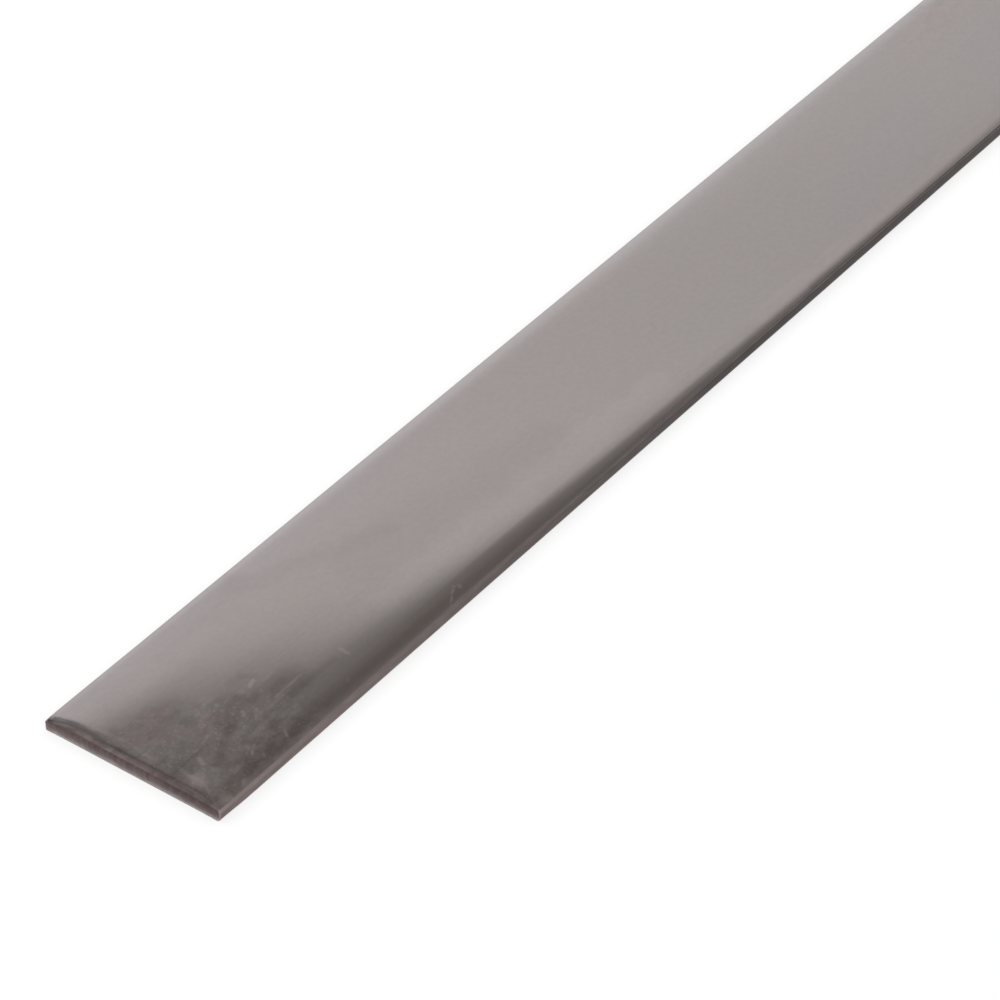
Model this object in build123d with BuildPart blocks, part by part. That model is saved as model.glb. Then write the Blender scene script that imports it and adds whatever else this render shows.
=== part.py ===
from build123d import *
import os

os.makedirs("parts", exist_ok=True)

# Flat bar: mild steel strip, rolled to its section and sheared to length.
# Millimetres. X runs across the bar, Y along it and Z up, with the origin
# in the middle of the face that the bar lies on.

# The stock
LENGTH = 1000.0
WIDTH = 30.0
THICKNESS = 2.0

# The rolled section: a flat underside, and an upper face that eases down
# towards the long edges
SHOULDER_RUN = 6.5  # how far in from a long edge the face starts to fall
SHOULDER_DROP = 0.17  # how far it has fallen by the edge
UPPER_EDGE_RADIUS = 0.4
LOWER_EDGE_RADIUS = 0.2

# The sheared ends, from the upper face down
ROLLOVER_LENGTH = 1.4  # the face is drawn down as the blade bites
ROLLOVER_DEPTH = 0.3
BURNISH_HEIGHT = 0.6  # the upright land that the blade slid along
BLADE_CLEARANCE = 0.15  # how far the torn break slopes back below that land

half_length = LENGTH / 2
half_width = WIDTH / 2

with BuildPart() as flat_bar:
    # The rolled section, drawn on the far end's plane: the right half of its
    # outline, mirrored
    with BuildSketch(Plane.XZ.offset(-half_length)):
        with BuildLine() as outline:
            face = Line((0, THICKNESS), (half_width - SHOULDER_RUN, THICKNESS))
            shoulder = TangentArc(face @ 1, (half_width, THICKNESS - SHOULDER_DROP), tangent=face % 1)
            edge = Line(shoulder @ 1, (half_width, 0))
            Line(edge @ 1, (0, 0))
            fillet(outline.vertices().sort_by_distance(edge @ 0)[0], UPPER_EDGE_RADIUS)
            fillet(outline.vertices().sort_by_distance(edge @ 1)[0], LOWER_EDGE_RADIUS)
            mirror(about=Plane.YZ)
        make_face()
    extrude(amount=LENGTH)

    # The sheared ends, drawn on the left edge's plane: the near half of the
    # side view, mirrored, for the section to be cut to. Where a rollover runs
    # into a falling shoulder, the lower of the two is the surface.
    with BuildSketch(Plane.YZ.offset(-half_width)):
        with BuildLine():
            rollover = EllipticalCenterArc(
                (ROLLOVER_LENGTH - half_length, THICKNESS - ROLLOVER_DEPTH),
                ROLLOVER_LENGTH,
                ROLLOVER_DEPTH,
                start_angle=90,
                arc_size=90,
            )
            land = Line(rollover @ 1, rollover @ 1 - Vector(0, BURNISH_HEIGHT))
            torn = Line(land @ 1, (BLADE_CLEARANCE - half_length, 0))
            Line(torn @ 1, (0, 0))
            Line(rollover @ 0, (0, THICKNESS))
            mirror(about=Plane.YZ)
        make_face()
    extrude(amount=WIDTH, mode=Mode.INTERSECT)

flat_bar.part.label = "flat_bar"
export_step(flat_bar.part, "parts/flat_bar.step")
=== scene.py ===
import math

import bpy
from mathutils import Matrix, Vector, noise


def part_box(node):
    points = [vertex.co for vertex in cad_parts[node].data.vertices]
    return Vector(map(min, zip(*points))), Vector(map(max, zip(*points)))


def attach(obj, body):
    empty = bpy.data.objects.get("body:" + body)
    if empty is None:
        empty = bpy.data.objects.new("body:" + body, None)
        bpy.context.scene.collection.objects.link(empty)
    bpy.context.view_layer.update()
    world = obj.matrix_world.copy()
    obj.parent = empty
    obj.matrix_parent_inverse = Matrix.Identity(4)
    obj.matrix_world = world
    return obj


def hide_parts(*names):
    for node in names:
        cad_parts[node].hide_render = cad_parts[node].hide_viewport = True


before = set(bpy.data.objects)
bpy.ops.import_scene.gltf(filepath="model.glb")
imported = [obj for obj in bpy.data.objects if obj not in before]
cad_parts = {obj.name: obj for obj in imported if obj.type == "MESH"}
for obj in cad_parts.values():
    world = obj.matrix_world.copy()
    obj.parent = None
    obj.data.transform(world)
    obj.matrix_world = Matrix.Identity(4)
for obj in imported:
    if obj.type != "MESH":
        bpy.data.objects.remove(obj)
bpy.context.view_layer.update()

MM = 0.001
LOW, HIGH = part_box("flat_bar")

# The stock, in millimetres, with X across it, Y along it and Z up
WIDTH = (HIGH.x - LOW.x) / MM
LENGTH = (HIGH.y - LOW.y) / MM
THICKNESS = (HIGH.z - LOW.z) / MM
HALF_WIDTH, HALF_LENGTH = WIDTH / 2, LENGTH / 2
ORIGIN = Vector(((LOW.x + HIGH.x) / 2, (LOW.y + HIGH.y) / 2, LOW.z))


def smooth(low, high, value):
    """0 below low, 1 above high, and an S curve between them."""
    t = min(1.0, max(0.0, (value - low) / (high - low)))
    return t * t * (3 - 2 * t)


# How fast the noise's finer layers fade, how much finer each one is, and how far apart two seeds lie
NOISE_FADE, NOISE_STEP, SEED_SHIFT = 0.9, 2.1, 37.0


def relief(x, y, z, seed, octaves=3):
    """Seeded noise from 0 to 1 at a point in millimetres."""
    value = noise.fractal(Vector((x, y, z + SEED_SHIFT * seed)), NOISE_FADE, NOISE_STEP, octaves)
    return min(1.0, max(0.0, 0.5 + 0.5 * value))


# ---------------------------------------------------------------------------
# The bar's surface: the CAD section and sheared ends, meshed finely enough to
# show them, with the relief that rolling and shearing leave
# ---------------------------------------------------------------------------

UPPER_RADIUS = 0.4
LOWER_RADIUS = 0.2
ARRIS_START = math.radians(82)
# The blade went in first at each end's early corner: the left one at the near end and the right one at the
# far end, where a spot's x and its end have the same sign. The other corner is the late one.
LATE_CORNER_RADIUS, EARLY_CORNER_RADIUS = 0.22, 0.16
# The burnished land reaches down to here, give or take half of its wander. The torn part below it leans in.
LAND_BOTTOM = 1.1
LAND_WANDER = 0.2
TEAR_DEPTH = 0.08
# Near both corners the shear bites less, down to these shares of its rollover and of its tear
BITE_RUN = 4.5
LATE_LEAST_BITE, EARLY_LEAST_BITE = 0.36, 0.24
LEAST_LEAN = 0.25
ROLLOVER_WANDER = 0.12
FACE_WAVE = 0.008
# The blade's draw by the early corner: where across the bar it sets in, where it deepens and by how much, how
# far it reaches along the bar, and where that widens and narrows and by how much
DRAW_SETS_IN = (4, 10)
DRAW_DEEPENS, DRAW_DEEPER = (10.5, 13), 0.4
DRAW_REACH = 0.92
DRAW_WIDENS, DRAW_WIDER = (8.5, 12), 0.14
DRAW_NARROWS, DRAW_NARROWER = (13.2, 14.8), 0.22
# The late side's lower corner is bent up by this, from nothing to all of it over these distances from the
# edge and from the end
LIFT = 0.22
LIFT_FROM_EDGE, LIFT_FROM_END = (0.5, 0.05), (6, 0.5)
# The long edges stand in from the full width by this and wave by this. The shear spreads them out again,
# nearly all the way by the early corner and a little along the late side.
EDGE_INSET, EDGE_WAVE, EDGE_RUN = 0.035, 0.03, 0.8
EARLY_SPREAD, SPREAD_RUN = 0.97, (26, 1)
LATE_SPREAD = 0.3
# The sheared face's relief: the depths of its drag marks and its torn part, how far above and below the
# land's bottom the torn part sets in, and over what distance from the end the relief fades
DRAG_DEPTH, TORN_DEPTH = 0.012, 0.055
TEAR_START, TEAR_FULL = 0.1, 0.15
RELIEF_RUN = 0.15
# How steeply the upper face falls, in degrees, at distances in from a long edge
SHOULDER_SLOPES = (
    (10.0, 0.0), (8.8, 0.03), (7.6, 0.08), (6.4, 0.18), (5.0, 0.34), (3.75, 0.6), (3.35, 0.86), (2.6, 1.22),
    (2.0, 1.66), (1.5, 2.32), (1.15, 2.9), (0.85, 3.6), (0.5, 5.0), (0.0, 8.0))
# The same for the rollover, from the sheared end
ROLLOVER_SLOPES = (
    (2.4, 0.0), (1.8, 0.4), (1.5, 1.1), (1.3, 2.3), (1.08, 4.4), (0.95, 6.0), (0.6, 7.0), (0.35, 9.0),
    (0.2, 18.0), (0.1, 35.0), (0.0, 62.0))
# And what the blade adds to it by the early corner
CORNER_DRAW_SLOPES = ((2.8, 0.0), (2.2, 0.45), (1.6, 1.6), (1.1, 3.0), (0.6, 3.4), (0.0, 3.4))
SLOPE_STEP = 0.02
# The mesh: points on the upper and the lower side of a section, rows down each edge, steps round each arris,
# and the sections' distances from an end, first one by one and then in steps up to each reach
COLUMNS = 168
SIDE_ROWS = 7
ARC_STEPS = 9
FIRST_STATIONS = (0.0, 0.015, 0.035, 0.06, 0.09, 0.12, 0.15, 0.19, 0.24, 0.3)
STATION_STEPS = ((2.9, 0.08), (6, 0.35), (30, 1.6))
MIDDLE_STEP = 14
SHARP_ANGLE = math.radians(38)


def falls(slopes):
    """How far a face has fallen at each SLOPE_STEP in from its edge."""
    drops = [0.0] * (round(slopes[0][0] / SLOPE_STEP) + 1)
    for i in range(len(drops) - 2, -1, -1):
        inset = (i + 0.5) * SLOPE_STEP
        for (far, a), (near, b) in zip(slopes, slopes[1:]):
            if inset >= near:
                break
        angle = a + (b - a) * (far - inset) / (far - near)
        drops[i] = drops[i + 1] + math.tan(math.radians(angle)) * SLOPE_STEP
    return drops


def fall_at(drops, inset):
    """How far a face has fallen at a distance in from its edge."""
    where = max(0.0, inset) / SLOPE_STEP
    i = int(where)
    if i >= len(drops) - 1:
        return 0.0
    return drops[i] + (drops[i + 1] - drops[i]) * (where - i)


SHOULDER, ROLLOVER, CORNER_DRAW = falls(SHOULDER_SLOPES), falls(ROLLOVER_SLOPES), falls(CORNER_DRAW_SLOPES)


def mirrored(half):
    """Both halves of a section's side, from the right one."""
    return [(-x, z) for x, z in half[::-1]] + half


def upper_chain():
    """The section's upper side from its left edge to its right one, as (x, z)."""
    centre_x = HALF_WIDTH - UPPER_RADIUS
    centre_z = THICKNESS - fall_at(SHOULDER, UPPER_RADIUS) - UPPER_RADIUS * math.sin(ARRIS_START)
    arc = []
    for k in range(ARC_STEPS, -1, -1):
        angle = ARRIS_START * k / ARC_STEPS
        arc.append((centre_x + UPPER_RADIUS * math.cos(angle), centre_z + UPPER_RADIUS * math.sin(angle)))
    count = COLUMNS // 2 - len(arc)
    face = []
    for k in range(count):
        x = arc[0][0] * (k + 0.5) / count
        face.append((x, THICKNESS - fall_at(SHOULDER, HALF_WIDTH - x)))
    return mirrored(face + arc)


def lower_chain():
    """The section's underside, with as many points as its upper side."""
    centre_x = HALF_WIDTH - LOWER_RADIUS
    arc = []
    for k in range(ARC_STEPS, -1, -1):
        angle = math.pi / 2 * k / ARC_STEPS
        arc.append((centre_x + LOWER_RADIUS * math.cos(angle), LOWER_RADIUS * (1 - math.sin(angle))))
    count = COLUMNS // 2 - len(arc)
    face = [(centre_x * (k + 0.5) / count, 0.0) for k in range(count)]
    return mirrored(face + arc)


UPPER, LOWER = upper_chain(), lower_chain()


def stations():
    """Distances from an end at which the section is placed, in millimetres."""
    near = list(FIRST_STATIONS)
    for reach, step in STATION_STEPS:
        while near[-1] < reach:
            near.append(near[-1] + step)
    run = HALF_LENGTH - near[-1]
    count = int(run / MIDDLE_STEP)
    return near + [near[-1] + run * (k + 1) / count for k in range(count)]


def place(x, z, d, end, upper):
    """A section point carried to d from an end, with the shear's form and the rolling's waves."""
    y = end * (HALF_LENGTH - d)
    bite = smooth(0, BITE_RUN, HALF_WIDTH - abs(x))
    early = x * end  # how far the spot lies towards the early corner
    if upper:
        # the shear draws the upper face down
        least = LATE_LEAST_BITE if early < 0 else EARLY_LEAST_BITE
        reach = least + (1 - least) * bite + ROLLOVER_WANDER * (relief(x * 0.35, 0, end * 3, 6) - 0.5)
        z -= reach * fall_at(ROLLOVER, d / reach)
        draw = smooth(*DRAW_SETS_IN, early) * (1 + DRAW_DEEPER * smooth(*DRAW_DEEPENS, early))
        reach = DRAW_REACH + DRAW_WIDER * smooth(*DRAW_WIDENS, early)
        reach -= DRAW_NARROWER * smooth(*DRAW_NARROWS, early)
        z -= draw * reach * fall_at(CORNER_DRAW, d / reach)
        z -= FACE_WAVE * relief(x / 13, y / 30, 0, 2, 2)
    else:
        # it tears the lower part, which leans in, and lifts one lower corner a little
        bottom = LAND_BOTTOM + LAND_WANDER * (relief(x * 0.5, 0, end * 3, 5) - 0.5)
        lean = TEAR_DEPTH * (LEAST_LEAN + (1 - LEAST_LEAN) * bite)
        if early < 0:
            start, full = (HALF_WIDTH - inset for inset in LIFT_FROM_EDGE)
            z += LIFT * smooth(start, full, abs(x)) * smooth(*LIFT_FROM_END, d)
        z = max(z, bottom * (1 - d / lean))
    # upright corners of the end, softened by handling
    radius = LATE_CORNER_RADIUS if early < 0 else EARLY_CORNER_RADIUS
    if d < radius:
        pull = radius - math.sqrt(radius ** 2 - (radius - d) ** 2)
        x = math.copysign(min(abs(x), HALF_WIDTH - pull * abs(x) / HALF_WIDTH), x)
    # a shallow waviness of the long edges, which the shear spreads out again by the early corner
    side = smooth(HALF_WIDTH - EDGE_RUN, HALF_WIDTH, abs(x))
    spread = EARLY_SPREAD * smooth(*SPREAD_RUN, d) if x * end > 0 else LATE_SPREAD
    wave = EDGE_INSET + EDGE_WAVE * relief(0, y / 9, math.copysign(4, x), 1)
    x -= math.copysign(side * (1 - spread) * wave, x)
    return x, y, z


def end_depth(x, z, end):
    """How far the sheared face lies in from the end's plane, for its texture."""
    torn = smooth(LAND_BOTTOM + TEAR_START, LAND_BOTTOM - TEAR_FULL, z)
    rough = relief(x * 1.6, end * 5, z * 2.2, 3, 4)
    drag = relief(x * 3.0, end * 9, z * 0.35, 4, 3)
    return DRAG_DEPTH * drag + torn * TORN_DEPTH * rough


def side_rows(a, b):
    """The points between two spots, from a to b."""
    return [tuple(a[i] + (b[i] - a[i]) * k / SIDE_ROWS for i in range(3)) for k in range(1, SIDE_ROWS)]


def section_at(d, end):
    """The ring of spots round the bar at d from an end."""
    top = [place(x, z, d, end, True) for x, z in UPPER]
    bottom = [place(x, z, d, end, False) for x, z in LOWER]
    fade = smooth(1.0, 0.0, d / RELIEF_RUN)
    ring = top + side_rows(top[-1], bottom[-1]) + bottom[::-1] + side_rows(bottom[0], top[0])
    return [(x, y - end * fade * end_depth(x, z, end), z) for x, y, z in ring]


def close_end(spots, faces, ring, end):
    """The sheared face: a patch between the four sides of the end's ring."""
    top, ring = ring[:COLUMNS], ring[COLUMNS:]
    right, ring = ring[:SIDE_ROWS - 1], ring[SIDE_ROWS - 1:]
    bottom, left = ring[:COLUMNS][::-1], ring[COLUMNS:][::-1]
    grid = [top]
    corners = [Vector(spots[v]) for v in (top[0], top[-1], bottom[0], bottom[-1])]
    for j in range(1, SIDE_ROWS):
        down = j / SIDE_ROWS
        line = [left[j - 1]]
        ends = [Vector(spots[v]) for v in (left[j - 1], right[j - 1])]
        for i in range(1, COLUMNS - 1):
            along = i / (COLUMNS - 1)
            spot = Vector(spots[top[i]]).lerp(Vector(spots[bottom[i]]), down)
            spot += (1 - along) * (ends[0] - corners[0].lerp(corners[2], down))
            spot += along * (ends[1] - corners[1].lerp(corners[3], down))
            spots.append((spot.x, end * (HALF_LENGTH - end_depth(spot.x, spot.z, end)), spot.z))
            line.append(len(spots) - 1)
        grid.append(line + [right[j - 1]])
    grid.append(bottom)
    for j in range(SIDE_ROWS):
        for i in range(COLUMNS - 1):
            quad = (grid[j][i], grid[j + 1][i], grid[j + 1][i + 1], grid[j][i + 1])
            faces.append(quad if end < 0 else quad[::-1])


def build_surface():
    """The bar as one closed mesh: rings of spots from end to end, and a patch on each end."""
    spots, faces = [], []
    near = stations()
    rows = [(d, -1) for d in near] + [(d, 1) for d in near[-2::-1]]
    loop = 2 * COLUMNS + 2 * (SIDE_ROWS - 1)
    for d, end in rows:
        spots += section_at(d, end)
    for r in range(len(rows) - 1):
        a, b = r * loop, (r + 1) * loop
        for k in range(loop):
            n = (k + 1) % loop
            faces.append((a + k, a + n, b + n, b + k))
    for r, end in ((0, -1), (len(rows) - 1, 1)):
        close_end(spots, faces, list(range(r * loop, (r + 1) * loop)), end)

    mesh = bpy.data.meshes.new("flat_bar_surface")
    mesh.from_pydata([tuple(ORIGIN + Vector(spot) * MM) for spot in spots], [], faces)
    mesh.validate()
    mesh.update()
    mesh.shade_smooth()
    mesh.set_sharp_from_angle(angle=SHARP_ANGLE)
    piece = bpy.data.objects.new("flat_bar_surface", mesh)
    bpy.context.scene.collection.objects.link(piece)
    return piece


# ---------------------------------------------------------------------------
# Node materials
# ---------------------------------------------------------------------------


class Tree:
    """Short names for the node expressions that the materials are made of. A value is a number, a colour or a
    point as a tuple, or a node's socket."""

    def __init__(self, tree):
        self.tree = tree
        tree.nodes.clear()

    def node(self, kind, **settings):
        made = self.tree.nodes.new(kind)
        for name, value in settings.items():
            setattr(made, name, value)
        return made

    def feed(self, socket, value):
        if isinstance(value, bpy.types.NodeSocket):
            self.tree.links.new(value, socket)
        elif isinstance(value, tuple) and len(value) == 3 and len(socket.default_value) == 4:
            socket.default_value = (*value, 1.0)
        else:
            socket.default_value = value

    def fill(self, node, **values):
        for name, value in values.items():
            self.feed(node.inputs[name.replace("_", " ")], value)

    def math(self, operation, *values, clamp=False):
        made = self.node("ShaderNodeMath", operation=operation, use_clamp=clamp)
        for socket, value in zip(made.inputs, values):
            self.feed(socket, value)
        return made.outputs[0]

    def times(self, *values):
        total = values[0]
        for value in values[1:]:
            total = self.math("MULTIPLY", total, value)
        return total

    def add(self, *values):
        total = values[0]
        for value in values[1:]:
            total = self.math("ADD", total, value)
        return total

    def most(self, *values):
        total = values[0]
        for value in values[1:]:
            total = self.math("MAXIMUM", total, value)
        return total

    def vector(self, operation, *values):
        made = self.node("ShaderNodeVectorMath", operation=operation)
        for socket, value in zip(made.inputs, values):
            self.feed(socket, value)
        return made.outputs["Value" if operation in ("DOT_PRODUCT", "LENGTH", "DISTANCE") else "Vector"]

    def ramp(self, value, low, high, a=0.0, b=1.0):
        """A soft step from a below low to b above high."""
        made = self.node("ShaderNodeMapRange", interpolation_type="SMOOTHSTEP", clamp=False)
        self.fill(made, Value=value, From_Min=low, From_Max=high, To_Min=a, To_Max=b)
        return made.outputs["Result"]

    def run(self, value, low, high, a=0.0, b=1.0):
        """A straight run from a below low to b above high."""
        share = self.math("MULTIPLY", self.math("SUBTRACT", value, low), 1 / (high - low))
        share = self.math("MAXIMUM", self.math("MINIMUM", share, 1.0), 0.0)
        return self.math("MULTIPLY_ADD", share, b - a, a)

    def curve(self, value, points):
        """A number that follows straight runs between points of (value, result)."""
        total = points[0][1]
        for (low, a), (high, b) in zip(points, points[1:]):
            total = self.add(self.run(value, low, high, 0.0, b - a), total)
        return total

    def mix(self, share, a, b):
        made = self.node("ShaderNodeMix", data_type="VECTOR")
        for index, value in ((0, share), (4, a), (5, b)):
            self.feed(made.inputs[index], value)
        return made.outputs[1]

    def tint(self, colour, amount):
        """A colour, multiplied by a number."""
        made = self.node("ShaderNodeVectorMath", operation="SCALE")
        self.feed(made.inputs[0], colour)
        self.feed(made.inputs["Scale"], amount)
        return made.outputs[0]

    def noise(self, place, stretch, detail=3.0, rough=0.5, shift=0.0, channels=False):
        """Noise from 0 to 1, with so many features per millimetre along X, Y and Z."""
        made = self.node("ShaderNodeTexNoise")
        moved = self.vector("MULTIPLY_ADD", place, stretch, (shift, shift * 1.7, shift * 0.6))
        self.fill(made, Vector=moved, Scale=1.0, Detail=detail, Roughness=rough)
        return made.outputs["Color" if channels else 0]

    def wander(self, spot, place, stretch, reach, shift):
        """A spot moved about by noise, up to half of reach to each side."""
        drift = self.noise(place, stretch, 3.0, 0.55, shift, channels=True)
        middle = self.vector("SUBTRACT", spot, (reach / 2, reach / 2, 0.0))
        return self.vector("MULTIPLY_ADD", drift, (reach, reach, 0.0), middle)

    def stroke(self, spot, a, b, width, core=0.25):
        """1 on the line from a to b, fading to 0 at width from it."""
        along = (b[0] - a[0], b[1] - a[1], 0.0)
        size = along[0] ** 2 + along[1] ** 2
        out = self.vector("SUBTRACT", spot, (a[0], a[1], 0.0))
        share = self.run(self.vector("DOT_PRODUCT", out, along), 0.0, size)
        foot = self.tint(along, share)
        return self.ramp(self.vector("DISTANCE", out, foot), width * core, width, 1.0, 0.0)

    def sharp_rays(self):
        """1 for the rays that see a thing itself or mirrored, and 0 for those that only light others."""
        ray = self.node("ShaderNodeLightPath").outputs
        mirrored_too = self.math("ADD", ray["Is Glossy Ray"], ray["Is Transmission Ray"])
        return self.math("ADD", ray["Is Camera Ray"], mirrored_too, clamp=True)


# Marks on the upper face, each from (x, distance from the near end) to the same, with a width, all in
# millimetres, and how strong the scratch is
SCRATCHES = (
    ((11.9, 17.2), (13.6, 16.0), 0.34, 0.6), ((12.5, 53.8), (13.3, 52.3), 0.34, 0.55),
    ((13.3, 52.3), (14.4, 50.5), 0.3, 0.5), ((10.6, 12.5), (11.5, 11.0), 0.32, 0.6),
    ((10.1, 12.0), (10.9, 10.7), 0.28, 0.35), ((2.5, 22.3), (2.9, 21.1), 0.5, 0.8),
    ((3.5, 25.2), (3.6, 23.0), 0.35, 0.4), ((6.5, 18.1), (7.7, 16.6), 0.4, 0.35),
    ((7.2, 18.1), (8.2, 16.9), 0.35, 0.25), ((5.3, 16.6), (5.9, 16.1), 0.45, 0.6),
    ((7.9, 34.3), (9.5, 34.15), 0.4, 0.45), ((6.4, 6.2), (7.6, 5.7), 0.55, 0.5),
    ((1.7, 15.8), (2.1, 14.5), 0.35, 0.45), ((12.9, 54.5), (13.3, 54.3), 0.45, 0.5),
    ((12.4, 30.1), (12.8, 29.8), 0.4, 0.4), ((12.8, 11.9), (13.2, 11.5), 0.4, 0.5),
    ((13.6, 6.6), (14.3, 5.9), 0.35, 0.45), ((6.9, 27.0), (7.0, 21.5), 0.35, 0.4),
    ((7.5, 24.0), (7.6, 19.0), 0.3, 0.2), ((6.0, 3.1), (10.3, 2.75), 0.5, 0.35),
    ((10.3, 2.75), (13.9, 0.7), 0.4, 0.35), ((-9.2, 2.1), (-6.0, 2.9), 0.35, 0.2),
    ((-6.0, 2.9), (-3.0, 3.0), 0.35, 0.25), ((-3.0, 3.0), (1.4, 2.5), 0.35, 0.2),
    ((4.6, 10.2), (4.9, 9.0), 0.45, 0.3), ((1.4, 5.6), (2.4, 4.6), 0.8, 0.2),
    ((9.4, 5.9), (10.4, 4.3), 1.0, 0.3))
# Dark lines and spots, with painted shade along the right edge and in the left near corner: how much of the
# light they send back
DARK_MARKS_AND_SHADE = (
    ((-15.0, 0.3), (-14.3, 0.2), 1.0, 0.7), ((5.6, 8.8), (5.6, 1.8), 0.5, 0.88),
    ((8.3, 17.5), (8.5, 32.0), 1.0, 0.9), ((10.0, 17.7), (10.6, 16.7), 1.5, 0.78),
    ((5.9, 13.6), (6.2, 12.4), 1.3, 0.84), ((8.5, 8.2), (8.9, 6.6), 1.4, 0.82),
    ((10.7, 10.8), (11.2, 10.0), 1.2, 0.86), ((14.0, 7.2), (14.0, 17.0), 1.7, 0.87),
    ((14.3, 142.0), (14.3, 540.0), 1.5, 0.84), ((4.6, 20.2), (5.0, 19.0), 1.3, 0.86),
    ((0.4, 20.0), (0.7, 22.0), 1.3, 0.94), ((0.7, 22.0), (2.2, 23.1), 1.2, 0.93),
    ((2.7, 18.2), (3.4, 16.4), 1.4, 0.87), ((5.6, 24.6), (6.0, 22.6), 1.4, 0.88),
    ((7.3, 10.2), (7.9, 8.8), 1.2, 0.87), ((9.9, 8.0), (10.4, 7.4), 1.0, 0.88),
    ((4.2, 13.0), (4.6, 12.2), 1.2, 0.9), ((-6.2, 3.6), (-5.2, 3.2), 1.4, 0.94))
# Below them, broad painted shade and painted reflections, lighter and darker, and some stains, in the same
# form
SOFT_SHADES = (
    ((-11.5, 35.0), (-2.5, 58.0), 3.4, 0.955), ((-1.0, 50.0), (3.5, 88.0), 8.0, 0.96),
    ((4.4, 15.0), (6.9, 26.0), 5.0, 0.77), ((-4.0, 4.0), (-2.0, 10.5), 6.5, 0.84),
    ((4.0, 5.0), (6.5, 10.0), 5.5, 0.86), ((-12.0, 2.0), (-12.0, 8.0), 6.0, 0.96),
    ((-12.5, 2.0), (-12.5, 36.0), 6.0, 0.95), ((8.4, 3.1), (13.2, 2.5), 2.4, 1.41),
    ((11.8, 5.2), (12.5, 7.0), 2.6, 1.3), ((6.6, 46.0), (8.8, 108.0), 4.5, 1.05),
    ((12.6, 130.0), (12.6, 560.0), 2.6, 1.045))
# The same for painted shade in the left near corner, by the left edge
LEFT_CORNER_SHADE = ((-14.7, 0.45), (-14.2, 1.15), 0.5, 0.62)
OUT_OF_REACH = 3000.0

# The soiled area's border runs aslant: how far it lies from the near end on the middle line, how much farther
# for each millimetre to the right, and how far it wavers
SOIL_BORDER, SOIL_SLANT, SOIL_WAVER = 18.0, 1.875, 16.0
# The border between the cool and the brown streak by the right edge
STREAK_BORDER = (11.35, 11.6)
# The painted dark line at the rollover's foot lies so far from the end
CREASE = 1.25
# How much a spot faces an end or a side where the sheared face or the mill edge begins and where it is full
SHEARED_FACING, EDGE_FACING = (0.15, 0.32), (0.35, 0.8)

# Shares and tones along the bar, from an end: the left edge's painted highlight, the mill edges' painted
# shade and their arrises' painted highlight
SHEEN_SHARES = ((3.0, 0.1), (60.0, 0.5), (150.0, 1.0))
EDGE_TONES = ((22.0, 1.0), (45.0, 0.82), (60.0, 0.62), (90.0, 0.48), (122.0, 0.23))
ARRIS_TONES = ((6.0, 0.92), (14.0, 0.72), (40.0, 0.58), (90.0, 0.53))
# How much lighter the rollover is than the face, across the bar: painted highlight, and painted shade where
# below 0
RIDGE_LIGHT = (
    (-15.0, 0.1), (-11.5, 0.0), (-9.0, 0.2), (-6.0, 0.34), (-3.0, 0.2), (0.0, -0.02), (4.0, -0.14),
    (7.5, -0.3), (11.5, -0.25), (13.8, -0.12))
# How much of the sheared face is torn, by height
TORN_SHARES = ((0.0, 1.0), (0.35, 0.62), (0.7, 0.2), (1.0, 0.04), (1.2, 0.0))

STEEL = (0.376, 0.335, 0.322)
STEEL_COOL = (0.364, 0.334, 0.332)
STEEL_LILAC = (0.378, 0.338, 0.341)
# painted highlight for the left long edge
LEFT_EDGE_SHEEN = (0.432, 0.398, 0.402)
BRIGHT_STEEL = (0.46, 0.42, 0.415)
BROWNED = (0.378, 0.326, 0.316)
SOIL_PURPLE = (0.386, 0.310, 0.313)
SOIL_BROWN = (0.354, 0.318, 0.301)
STREAK_COOL = (0.364, 0.326, 0.308)
STREAK_BROWN = (0.372, 0.315, 0.293)
# warm tint of the rollover's painted highlight
RIDGE_WARMTH = (1.06, 0.99, 0.985)
MILL_EDGE = (0.158, 0.124, 0.119)
# painted highlight for the arrises and the upright corners
ARRIS_HIGHLIGHT = (0.29, 0.235, 0.225)
# painted reflection of the floor at the mill edges' foot
EDGE_FOOT_REFLECTION = (0.30, 0.26, 0.255)
SHEARED_LAND = (0.119, 0.084, 0.082)
SHEARED_TORN = (0.36, 0.325, 0.323)

FACE_ROUGHNESS = 0.074
SOIL_ROUGHNESS, SCUFF_ROUGHNESS, SHOULDER_ROUGHNESS, DULL_ROUGHNESS = 0.03, 0.12, 0.07, 0.2
BUMP_STRENGTH, BUMP_DEPTH = 0.5, 0.02


class Places:
    """Where a spot lies on the bar, in millimetres, and which way it faces."""

    def __init__(self, t):
        coordinates = t.node("ShaderNodeTexCoord").outputs
        self.spot = t.tint(t.vector("SUBTRACT", coordinates["Object"], tuple(ORIGIN)), 1 / MM)
        split = t.node("ShaderNodeSeparateXYZ")
        t.feed(split.inputs[0], self.spot)
        self.x, self.y, self.z = split.outputs
        facing = t.node("ShaderNodeSeparateXYZ")
        t.feed(facing.inputs[0], coordinates["Normal"])
        self.sideways = t.math("ABSOLUTE", facing.outputs[0])
        self.endways = t.math("ABSOLUTE", facing.outputs[1])
        self.from_edge = t.math("SUBTRACT", HALF_WIDTH, t.math("ABSOLUTE", self.x))
        self.from_end = t.math("SUBTRACT", HALF_LENGTH, t.math("ABSOLUTE", self.y))
        # the marks by the near end are on the upper face only, so on the underside they lie out of reach
        self.near = t.add(self.y, HALF_LENGTH, t.ramp(facing.outputs[2], -0.9, -0.5, OUT_OF_REACH, 0.0))
        flat = t.node("ShaderNodeCombineXYZ")
        t.feed(flat.inputs[0], self.x)
        t.feed(flat.inputs[1], self.near)
        self.flat = flat.outputs[0]
        self.upward = t.ramp(facing.outputs[2], 0.6, 0.9)


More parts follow.
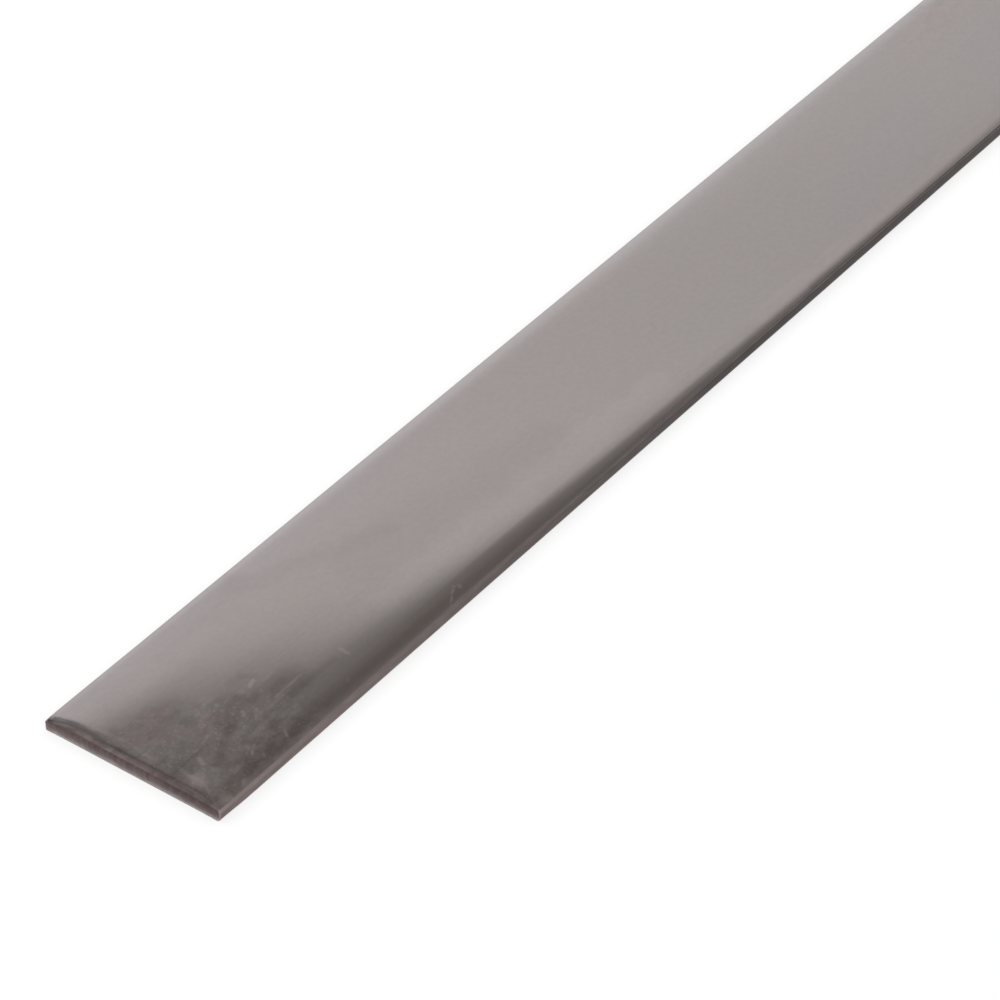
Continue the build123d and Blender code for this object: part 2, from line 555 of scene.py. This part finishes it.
def soiling(t, at):
    """How far inside the soiled border a spot lies, and how soiled it is there and in patches farther on."""
    waver = t.noise(at.spot, (0.3, 0.2, 0.3), 3.0, 0.5, 3.0)
    border = t.add(
        t.times(at.x, SOIL_SLANT), SOIL_BORDER, t.times(t.math("SUBTRACT", waver, 0.5), SOIL_WAVER))
    inside = t.math("SUBTRACT", border, at.near)
    soiled = t.times(t.ramp(inside, -4.0, 5.0), t.ramp(at.near, 18.0, 28.0, 1.0, 0.0))
    patches = t.ramp(t.noise(at.spot, (0.03, 0.012, 0.03), 2.0, 0.5, 8.0), 0.56, 0.68)
    return inside, t.most(soiled, t.times(patches, t.ramp(at.near, 175.0, 240.0), 0.4))


def face_colour(t, at, inside, soiled, cloud, tone):
    """The rolled face, cooler along the bar, browned and soiled by the near end, and with two streaks."""
    cool = t.add(t.ramp(cloud, 0.38, 0.62, 0.0, 0.3), t.ramp(at.near, 50.0, 170.0, 0.0, 0.65))
    colour = t.mix(cool, STEEL, STEEL_COOL)
    lilac = t.times(t.ramp(at.x, -14.0, -6.0, 1.0, 0.0), t.ramp(at.near, 60.0, 120.0, 1.0, 0.0))
    colour = t.mix(lilac, colour, STEEL_LILAC)
    browned = t.times(t.ramp(inside, -10.0, 3.0), t.ramp(at.near, 28.0, 48.0, 1.0, 0.0))
    colour = t.mix(t.times(browned, 0.9), colour, BROWNED)
    soil_colour = t.mix(t.ramp(tone, 0.45, 0.62), SOIL_PURPLE, SOIL_BROWN)
    colour = t.mix(t.times(soiled, 0.75), colour, soil_colour)
    cool_streak = t.times(
        t.ramp(at.x, 8.2, 8.7), t.ramp(at.x, *STREAK_BORDER, 1.0, 0.0),
        t.ramp(at.near, 14.0, 20.0), t.ramp(at.near, 44.0, 64.0, 1.0, 0.0))
    colour = t.mix(t.times(cool_streak, 0.8), colour, STREAK_COOL)
    brown_streak = t.times(
        t.ramp(at.x, *STREAK_BORDER), t.ramp(at.x, 14.3, 14.7, 1.0, 0.0),
        t.ramp(at.near, 40.0, 110.0, 1.0, 0.35))
    return t.mix(brown_streak, colour, STREAK_BROWN)


def left_edge_sheen(t, at, colour):
    """The left long edge, with a painted highlight along it that grows away from the ends."""
    sheen = t.times(
        t.ramp(at.from_edge, 0.4, 3.0, 1.0, 0.0), t.curve(at.from_end, SHEEN_SHARES),
        t.ramp(at.x, -1.0, 1.0, 1.0, 0.0))
    return t.mix(sheen, colour, LEFT_EDGE_SHEEN)


def shades_and_stains(t, at, shade):
    """The face's light, with the soft painted shades and reflections, and the dark marks and painted shade,
    in it.
    """
    soft = t.wander(at.flat, at.spot, (0.22, 0.16, 0.22), 5.0, 21.0)
    for place, strokes in ((soft, SOFT_SHADES), (at.flat, DARK_MARKS_AND_SHADE)):
        shade_factor = 1.0
        for a, b, width, light in strokes:
            stroke = t.stroke(place, a, b, width, 0.0)
            shade_factor = t.times(shade_factor, t.ramp(stroke, 0.0, 1.0, 1.0, light))
        shade = t.times(shade, shade_factor)
    return shade


def scuffing(t, at, mottled):
    """Where scuffs and scratches lay the bright metal bare and rough."""
    dash = t.ramp(t.noise(at.spot, (1.3, 1.3, 1.3), 2.0, 0.5, 4.0), 0.4, 0.55)
    marks = 0.0
    for a, b, width, strong in SCRATCHES:
        marks = t.most(marks, t.times(t.stroke(at.flat, a, b, width), strong))
    marks = t.times(marks, t.ramp(dash, 0.0, 1.0, 0.4, 1.0))
    specks = t.times(t.ramp(t.noise(at.spot, (2.4, 2.2, 2.4), 2.0, 0.5, 6.0), 0.57, 0.75), mottled)
    return t.times(t.most(marks, t.times(specks, 0.5)), at.upward)


def rollover_marks(t, at, colour):
    """Painted shade in a line at the rollover's foot, a band of painted highlight by it on the left, and the
    rollover's painted light and shade.
    """
    bite = t.ramp(at.from_edge, 0.0, BITE_RUN, LATE_LEAST_BITE, 1.0)
    waver = t.ramp(t.noise(at.spot, (0.5, 0.5, 0.5), 3.0, 0.6, 7.0), 0.3, 0.7, -0.12, 0.12)
    inset = t.math("DIVIDE", t.add(at.from_end, waver), bite)
    off_crease = t.math("ABSOLUTE", t.math("SUBTRACT", inset, CREASE))
    # painted shade in a thin line at the rollover's foot
    crease = t.times(t.ramp(off_crease, 0.08, 0.3, 1.0, 0.0), at.upward)
    colour = t.tint(colour, t.ramp(crease, 0.0, 1.0, 1.0, 0.9))
    # a band of painted highlight on the rollover towards the left
    flat_part = t.times(at.upward, t.ramp(at.from_edge, 0.2, 1.0))
    band_start = t.ramp(at.x, -13.5, -9.0, 0.4, 0.9)
    band = t.times(
        t.ramp(at.x, -8.0, -3.0, 0.34, 0.0), t.ramp(at.from_end, band_start, t.add(band_start, 0.3)),
        t.ramp(at.from_end, 1.2, 1.6, 1.0, 0.0))
    colour = t.tint(colour, t.add(1.0, t.times(band, flat_part)))
    # painted highlight and shade on the rollover, with a warm tint
    ridge = t.times(
        t.ramp(inset, 0.8, 1.15, 1.0, 0.0), t.ramp(at.endways, *SHEARED_FACING, 1.0, 0.0),
        t.ramp(at.from_edge, 0.2, 1.0))
    ridge_light = t.curve(at.x, RIDGE_LIGHT)
    colour = t.tint(colour, t.add(1.0, t.times(ridge, ridge_light)))
    warm = t.times(ridge, t.ramp(at.x, -1.0, 6.0, 1.0, 0.5))
    return t.mix(warm, colour, t.vector("MULTIPLY", colour, RIDGE_WARMTH))


def mill_edge(t, at, colour):
    """The long edges, in painted shade deepening along the bar, with painted highlights on their upper
    arrises and a painted floor reflection at the foot.
    """
    edge_noise = t.noise(at.spot, (1.2, 0.25, 1.2), 4.0, 0.6, 9.0)
    # painted shade: the mill edge darkens along the bar
    tone = t.curve(at.from_end, EDGE_TONES)
    shade = t.times(tone, t.ramp(edge_noise, 0.3, 0.7, 0.86, 1.12))
    edge_colour = t.tint(MILL_EDGE, shade)
    side = t.ramp(at.sideways, *EDGE_FACING)
    colour = t.mix(side, colour, edge_colour)
    # painted highlight along the upper arrises, its tone changing along the bar
    arris = t.times(
        t.ramp(at.sideways, 0.24, 0.5), t.ramp(at.z, t.ramp(at.from_end, 15.0, 90.0, 1.0, 1.5), 1.7))
    arris_tone = t.curve(at.from_end, ARRIS_TONES)
    highlit = t.times(arris, 0.85)
    arris_shade = t.times(arris_tone, t.ramp(edge_noise, 0.3, 0.7, 0.86, 1.08))
    colour = t.mix(highlit, colour, t.tint(ARRIS_HIGHLIGHT, arris_shade))
    # painted shade in the left near corner
    a, b, width, light = LEFT_CORNER_SHADE
    colour = t.tint(colour, t.ramp(t.stroke(at.flat, a, b, width), 0.0, 1.0, 1.0, light))
    # painted reflection of the floor, paler at the edge's foot
    foot = t.times(side, t.ramp(at.z, 0.1, 0.5, 1.0, 0.0))
    return side, t.mix(t.times(foot, 0.5), colour, EDGE_FOOT_REFLECTION)


def sheared_face(t, at, colour):
    """The sheared ends: a brown land over a paler torn part, with a painted highlight on the upright corners.
    """
    sheared = t.ramp(at.endways, *SHEARED_FACING)
    end_noise = t.noise(at.spot, (1.1, 1.0, 1.6), 4.0, 0.62, 11.0)
    drag = t.noise(at.spot, (3.5, 1.0, 0.35), 2.0, 0.5, 12.0)
    height = t.add(at.z, t.ramp(end_noise, 0.3, 0.7, -0.16, 0.16))
    torn = t.curve(height, TORN_SHARES)
    torn = t.times(torn, t.ramp(at.x, -14.9, -13.2, 0.5, 1.0))
    land_shade = t.times(t.ramp(drag, 0.3, 0.7, 0.82, 1.15), t.ramp(at.x, 2.0, 8.0, 1.0, 0.85))
    end_colour = t.mix(torn, t.tint(SHEARED_LAND, land_shade), SHEARED_TORN)
    colour = t.mix(sheared, colour, end_colour)
    # painted highlight on the upright corners of the ends
    corner = t.times(t.ramp(at.sideways, 0.35, 0.6), t.ramp(at.from_end, 0.12, 0.45, 1.0, 0.0))
    return sheared, t.mix(t.times(corner, 0.8), colour, ARRIS_HIGHLIGHT)


def steel_material():
    """Bright rolled steel: the face with its soil, marks and painted light and shade, the mill edges and the
    sheared ends.
    """
    material = bpy.data.materials.new("rolled_steel")
    material.use_nodes = True
    t = Tree(material.node_tree)
    at = Places(t)
    inside, soiled = soiling(t, at)
    grain = t.noise(at.spot, (3.0, 0.03, 3.0), 2.0, 0.5)
    cloud = t.noise(at.spot, (0.09, 0.035, 0.09), 3.0, 0.5, 5.0)
    tone = t.noise(at.spot, (0.28, 0.16, 0.28), 3.0, 0.55, 1.0)
    blotch = t.noise(at.spot, (0.62, 0.42, 0.62), 4.0, 0.6, 2.0)
    colour = face_colour(t, at, inside, soiled, cloud, tone)
    matte = t.noise(at.spot, (1.6, 1.1, 1.6), 3.0, 0.6, 14.0)
    shade = t.add(0.92, t.times(grain, 0.03), t.times(matte, 0.13))
    mottled = t.times(soiled, t.ramp(at.x, 0.0, 5.0, 1.0, 1.15))
    shade = t.times(shade, t.add(1.0, t.times(mottled, t.ramp(blotch, 0.34, 0.66, 0.13, -0.15))))
    # painted highlight along the left long edge
    colour = left_edge_sheen(t, at, colour)
    # stains and dark marks, with painted shade and painted light from the stroke lists
    colour = t.tint(colour, shades_and_stains(t, at, shade))
    scuff = scuffing(t, at, mottled)
    colour = t.mix(t.times(scuff, 0.4), colour, BRIGHT_STEEL)
    colour = rollover_marks(t, at, colour)
    side, colour = mill_edge(t, at, colour)
    sheared, colour = sheared_face(t, at, colour)

    rough = t.add(
        FACE_ROUGHNESS, t.times(t.ramp(blotch, 0.3, 0.7), soiled, SOIL_ROUGHNESS),
        t.times(scuff, SCUFF_ROUGHNESS))
    shoulder = t.ramp(at.from_edge, 0.2, 2.4, SHOULDER_ROUGHNESS, 0.0)
    rough = t.add(rough, t.times(shoulder, t.ramp(at.x, -1.0, 1.0)))
    dull = t.most(side, t.times(sheared, 1.2))
    rough = t.add(rough, t.times(dull, DULL_ROUGHNESS))
    pitting = t.noise(at.spot, (5.0, 3.0, 5.0), 3.0, 0.6, 13.0)
    fine = t.most(t.times(dull, pitting), t.times(grain, 0.03))
    bump = t.node("ShaderNodeBump")
    t.fill(bump, Height=fine, Strength=BUMP_STRENGTH, Distance=BUMP_DEPTH * MM)
    shader = t.node("ShaderNodeBsdfPrincipled")
    t.fill(shader, Metallic=1.0, Base_Color=colour, Roughness=rough, Normal=bump.outputs[0])
    output = t.node("ShaderNodeOutputMaterial")
    t.feed(output.inputs[0], shader.outputs[0])
    return material


bar = build_surface()
bar.data.materials.append(steel_material())
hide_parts("flat_bar")
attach(bar, "root")

# ---------------------------------------------------------------------------
# The camera, placed from the bar's near end
# ---------------------------------------------------------------------------

HEADING = math.radians(36.368)  # to the left of +Y
PITCH = math.radians(39.324)  # below the horizon
CAMERA_FROM_END = Vector((266.533, -280.450, 361.206)) * MM
FOCAL_LENGTH = 144.348
SENSOR = 36.0
CLIP_NEAR, CLIP_FAR = 0.01, 50

near_end = Vector(((LOW.x + HIGH.x) / 2, LOW.y, LOW.z))
camera_data = bpy.data.cameras.new("camera")
camera_data.lens = FOCAL_LENGTH
camera_data.sensor_width = SENSOR
camera_data.clip_start = CLIP_NEAR
camera_data.clip_end = CLIP_FAR
camera = bpy.data.objects.new("camera", camera_data)
bpy.context.scene.collection.objects.link(camera)
camera.location = near_end + CAMERA_FROM_END
camera.rotation_euler = (math.pi / 2 - PITCH, 0, HEADING)
bpy.context.scene.camera = camera

# ---------------------------------------------------------------------------
# The studio: a white floor, soft lamps and a white surround
# ---------------------------------------------------------------------------

FLOOR_REACH = 12.0
FLOOR_COLOUR = (0.6, 0.6, 0.6, 1)
FLOOR_LIFT = 0.64
# Where the camera looks, the surround's brightness by height in degrees: bright walls up to 40, then a dark
# gap and a dimmer overhead. It climbs to the left by its tilt, and darkens to the right over its stretch.
SURROUND_STOPS = (
    (0, 1.0), (30, 1.0), (34, 1.0), (36, 0.90), (37.5, 0.91), (38.5, 0.96), (39.3, 0.91), (39.9, 0.95),
    (40.3, 1.0), (40.6, 0.86), (41.0, 0.37), (41.4, 0.26), (41.8, 0.33), (42.4, 0.33), (43.2, 0.25),
    (44, 0.225), (46, 0.225), (48, 0.28), (50, 0.37), (53, 0.42), (58, 0.45), (70, 0.45), (90, 0.5))
SURROUND_TOP = 90.0
SURROUND_TILT = 0.166
SURROUND_ACROSS, SURROUND_LEFT, SURROUND_RIGHT = 14, 1.14, 0.86
# To the sides it turns to plain white from the one azimuth to the other, and overhead to grey in the same way
PLAIN_AZIMUTHS, PLAIN_WHITE = (40, 75), (0.95, 0.95, 0.95)
OVERHEAD_HEIGHTS, OVERHEAD_GREY = (62, 88), (0.72, 0.72, 0.72)
AMBIENT = 0.7
LAMP_SIZE = 1.6
LAMPS = (("lamp_left", (-2.3, -0.9, 1.7), 7.0), ("lamp_right", (2.0, -1.4, 1.8), 6.0))


def floor():
    """A floor that looks white, itself and mirrored, but lights the bar only as the pale grey that it is."""
    spots = [(x * FLOOR_REACH, y * FLOOR_REACH, LOW.z) for x, y in ((-1, -1), (1, -1), (1, 1), (-1, 1))]
    mesh = bpy.data.meshes.new("floor")
    mesh.from_pydata(spots, [], [(0, 1, 2, 3)])
    piece = bpy.data.objects.new("floor", mesh)
    bpy.context.scene.collection.objects.link(piece)
    material = bpy.data.materials.new("floor")
    material.use_nodes = True
    t = Tree(material.node_tree)
    seen = t.sharp_rays()
    diffuse = t.node("ShaderNodeBsdfDiffuse")
    diffuse.inputs["Color"].default_value = FLOOR_COLOUR
    lift = t.node("ShaderNodeEmission")
    t.feed(lift.inputs["Strength"], t.math("MULTIPLY", seen, FLOOR_LIFT))
    both = t.node("ShaderNodeAddShader")
    t.feed(both.inputs[0], diffuse.outputs[0])
    t.feed(both.inputs[1], lift.outputs[0])
    output = t.node("ShaderNodeOutputMaterial")
    t.feed(output.inputs[0], both.outputs[0])
    mesh.materials.append(material)


def surround():
    """White all round, with the darker gap between the walls and the overhead light that the bar reflects."""
    world = bpy.data.worlds.new("studio")
    bpy.context.scene.world = world
    world.use_nodes = True
    t = Tree(world.node_tree)
    direction = t.node("ShaderNodeTexCoord").outputs["Generated"]
    split = t.node("ShaderNodeSeparateXYZ")
    t.feed(split.inputs[0], direction)
    ahead = (-math.sin(HEADING), math.cos(HEADING), 0)
    right = (math.cos(HEADING), math.sin(HEADING), 0)
    rightward, forward = (t.vector("DOT_PRODUCT", direction, way) for way in (right, ahead))
    azimuth = t.math("DEGREES", t.math("ARCTAN2", rightward, forward))
    height = t.math("DEGREES", t.math("ARCSINE", split.outputs[2]))
    level = t.math("ADD", height, t.math("MULTIPLY", azimuth, SURROUND_TILT))
    ramp = t.node("ShaderNodeValToRGB")
    t.feed(ramp.inputs[0], t.math("DIVIDE", level, SURROUND_TOP))
    while len(ramp.color_ramp.elements) < len(SURROUND_STOPS):
        ramp.color_ramp.elements.new(0.5)
    for element, (where, bright) in zip(ramp.color_ramp.elements, SURROUND_STOPS):
        element.position = where / SURROUND_TOP
        element.color = (bright, bright, bright, 1)
    ramp.color_ramp.interpolation = "LINEAR"
    window = t.ramp(t.math("ABSOLUTE", azimuth), *PLAIN_AZIMUTHS, 1.0, 0.0)
    across = t.run(azimuth, -SURROUND_ACROSS, SURROUND_ACROSS, SURROUND_LEFT, SURROUND_RIGHT)
    seen = t.mix(window, PLAIN_WHITE, t.tint(ramp.outputs[0], across))
    seen = t.mix(t.ramp(height, *OVERHEAD_HEIGHTS), seen, OVERHEAD_GREY)
    sharp = t.sharp_rays()
    plain = t.node("ShaderNodeBackground")
    plain.inputs["Strength"].default_value = AMBIENT
    studio = t.node("ShaderNodeBackground")
    t.feed(studio.inputs["Color"], seen)
    choose = t.node("ShaderNodeMixShader")
    t.feed(choose.inputs[0], sharp)
    t.feed(choose.inputs[1], plain.outputs[0])
    t.feed(choose.inputs[2], studio.outputs[0])
    output = t.node("ShaderNodeOutputWorld")
    t.feed(output.inputs[0], choose.outputs[0])


def lamp(name, place, energy):
    """A round soft lamp, turned to the bar's middle."""
    data = bpy.data.lights.new(name, "AREA")
    data.shape = "DISK"
    data.size = LAMP_SIZE
    data.energy = energy
    made = bpy.data.objects.new(name, data)
    bpy.context.scene.collection.objects.link(made)
    made.location = place
    made.rotation_euler = (-Vector(place)).to_track_quat("-Z", "Y").to_euler()


floor()
surround()
for lamp_name, lamp_place, lamp_energy in LAMPS:
    lamp(lamp_name, lamp_place, lamp_energy)

bpy.context.scene.view_settings.view_transform = "Standard"
